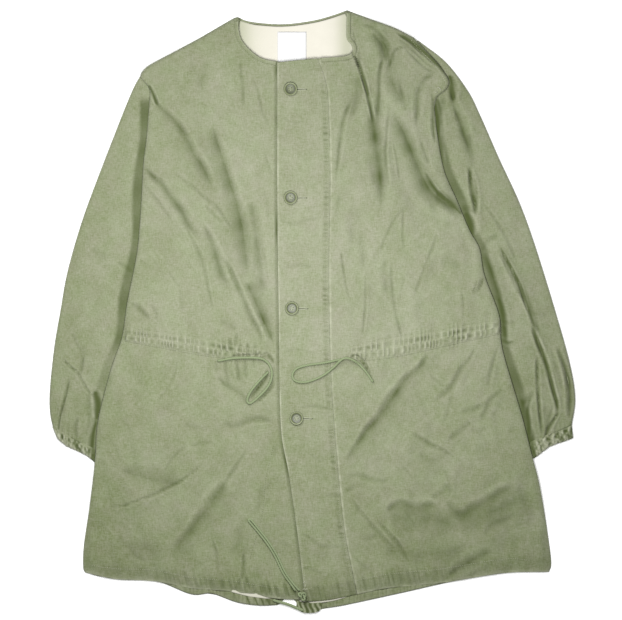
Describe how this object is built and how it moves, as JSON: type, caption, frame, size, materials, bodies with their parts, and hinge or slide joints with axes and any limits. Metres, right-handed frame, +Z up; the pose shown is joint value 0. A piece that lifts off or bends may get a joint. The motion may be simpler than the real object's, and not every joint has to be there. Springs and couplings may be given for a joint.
{
  "type": "work coat",
  "caption": "Collarless cotton work coat with a buttoned front, drawcord waist and hem and elastic cuffs, laid flat with its front up.",
  "frame": {"origin": "on the surface the coat lies on, below the middle of its outline", "axes": "+X towards the wearer's left sleeve, +Y towards the neck, +Z up from the surface through the back to the fronts"},
  "size_m": [0.788, 0.904, 0.015],
  "materials": {
    "cloth": "washed sage-green cotton, matt",
    "inside": "cream inner face of the cotton, matt",
    "label": "blank white woven label",
    "button": "olive horn-like plastic, half gloss",
    "cord": "thin green cotton cord"
  },
  "bodies": {
    "root": {"back": "cloth", "front_right": "cloth", "front_left": "cloth", "placket": "cloth", "sleeve_right": "cloth", "sleeve_left": "cloth", "cuff_right": "cloth", "cuff_left": "cloth", "neck_binding_right": "cloth", "neck_binding_left": "cloth", "neck_binding_back": "cloth", "waist_casing_right": "cloth", "waist_casing_left": "cloth", "hem_facing_right": "cloth", "hem_facing_left": "cloth", "hem_gather": "cloth", "lining_neck": "inside", "lining_hem": "inside", "label": "label", "button_1": "button", "button_2": "button", "button_3": "button", "button_4": "button", "waist_cord_right": "cord", "waist_cord_left": "cord", "hem_cord": "cord", "hem_cord_bridge": "cord", "hem_knot": "cord"}
  },
  "joints": []
}
